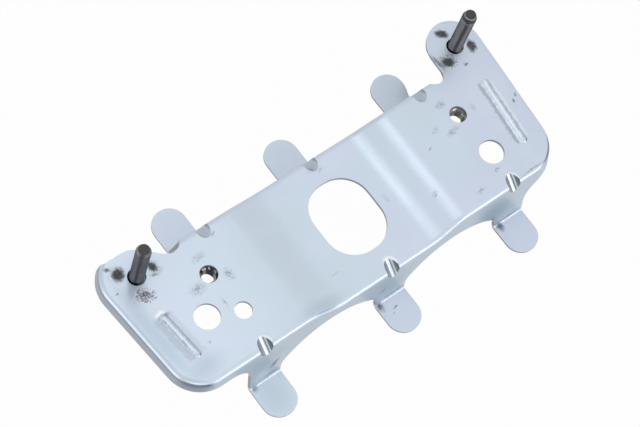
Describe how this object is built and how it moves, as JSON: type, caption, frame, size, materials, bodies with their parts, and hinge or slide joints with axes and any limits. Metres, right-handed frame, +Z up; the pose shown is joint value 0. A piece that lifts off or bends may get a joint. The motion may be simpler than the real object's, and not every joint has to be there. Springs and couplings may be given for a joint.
{
  "type": "fuel pump module bracket",
  "caption": "Pressed sheet-metal bridge bracket on turned-out feet, with a rounded middle opening, upright threaded studs and weld nuts under the plate.",
  "frame": {"origin": "under the middle of the bracket's length and width, on the plane that the feet stand on", "axes": "+Z up out of the plate, the way the studs point; +X along the bracket, towards the end with one large hole alone; +Y across it, towards the side with the studs"},
  "size_m": [0.193, 0.0941, 0.051],
  "materials": {
    "zinc_sheet": "bright zinc plating, satin, with weld marks and scuffs",
    "stud_steel": "dark plated thread",
    "nut_steel": "dark plated thread and flange"
  },
  "bodies": {
    "root": {"bracket_plate": "zinc_sheet", "weld_stud_left": "stud_steel", "weld_stud_right": "stud_steel", "weld_nut_left": "nut_steel", "weld_nut_right": "nut_steel"}
  },
  "joints": []
}
